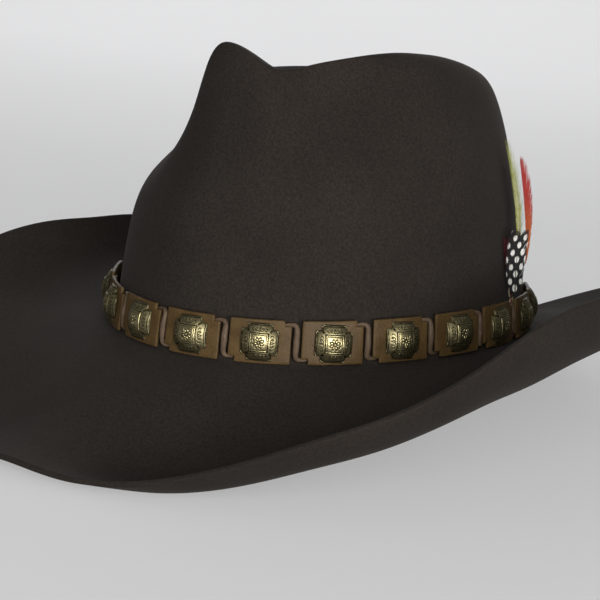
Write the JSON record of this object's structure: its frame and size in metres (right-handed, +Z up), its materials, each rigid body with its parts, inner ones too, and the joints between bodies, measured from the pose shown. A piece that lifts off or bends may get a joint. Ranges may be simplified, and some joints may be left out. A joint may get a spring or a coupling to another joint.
{
  "type": "cowboy hat",
  "caption": "Western felt hat with a pinched teardrop crown, rolled brim, sweatband and lining, and a removable leather and metal link hatband with a feather mount",
  "frame": {"origin": "centre of the head opening, in the plane where crown and brim meet", "axes": "+Z up out of the crown, -Y to the front of the hat, +X to the wearer's left"},
  "size_m": [0.3229, 0.3908, 0.1735],
  "materials": {
    "felt": "matte brushed fur felt",
    "sweat_leather": "smooth roan leather",
    "reed": "extruded reed",
    "thread": "waxed thread",
    "ribbon": "satin ribbon",
    "satin": "satin lining",
    "link_leather": "waxed veg-tan leather",
    "antique_brass": "antiqued brass",
    "thong": "round leather lace",
    "guinea_feather": "spotted feather",
    "red_feather": "dyed feather",
    "green_feather": "dyed feather",
    "teal_feather": "dyed feather",
    "maroon_feather": "dyed feather"
  },
  "bodies": {
    "hat": {"felt_body": "felt", "sweatband": "sweat_leather", "sweatband_reed": "reed", "sweatband_stitches": "thread", "rear_bow": "ribbon", "lining_side": "satin", "lining_tip": "satin"},
    "hatband": {"link_01": "link_leather", "link_02": "link_leather", "link_03": "link_leather", "link_04": "link_leather", "link_05": "link_leather", "link_06": "link_leather", "link_07": "link_leather", "link_08": "link_leather", "link_09": "link_leather", "link_10": "link_leather", "link_11": "link_leather", "link_12": "link_leather", "link_13": "link_leather", "link_14": "link_leather", "link_15": "link_leather", "link_16": "link_leather", "link_17": "link_leather", "link_18": "link_leather", "link_19": "link_leather", "concho_01": "antique_brass", "concho_02": "antique_brass", "concho_03": "antique_brass", "concho_04": "antique_brass", "concho_05": "antique_brass", "concho_06": "antique_brass", "concho_07": "antique_brass", "concho_08": "antique_brass", "concho_09": "antique_brass", "concho_10": "antique_brass", "concho_11": "antique_brass", "concho_12": "antique_brass", "concho_13": "antique_brass", "concho_14": "antique_brass", "concho_15": "antique_brass", "concho_16": "antique_brass", "concho_17": "antique_brass", "concho_18": "antique_brass", "concho_19": "antique_brass", "lace_thong": "thong", "lace_knot": "thong"},
    "tail_left": {"lace_tail_left": "thong"},
    "tail_right": {"lace_tail_right": "thong"},
    "feathers": {"feather_guinea": "guinea_feather", "feather_red": "red_feather", "feather_green": "green_feather", "feather_teal": "teal_feather", "feather_maroon": "maroon_feather"}
  },
  "joints": [
    {"name": "band_lift", "type": "slide", "parent": "hat", "child": "hatband", "axis": [0, 0, 1], "range_m": [0, 0.12]},
    {"name": "feather_pull", "type": "slide", "parent": "hatband", "child": "feathers", "axis": [-0.0955, -0.028, 0.995], "range_m": [0, 0.02]},
    {"name": "tail_left_swing", "type": "hinge", "parent": "hatband", "child": "tail_left", "pos_m": [-0.01555, 0.10675, 0.00717], "axis": [1, 0, 0], "range_deg": [0, 60]},
    {"name": "tail_right_swing", "type": "hinge", "parent": "hatband", "child": "tail_right", "pos_m": [-0.01555, 0.10675, 0.00717], "axis": [1, 0, 0], "range_deg": [0, 60]}
  ]
}
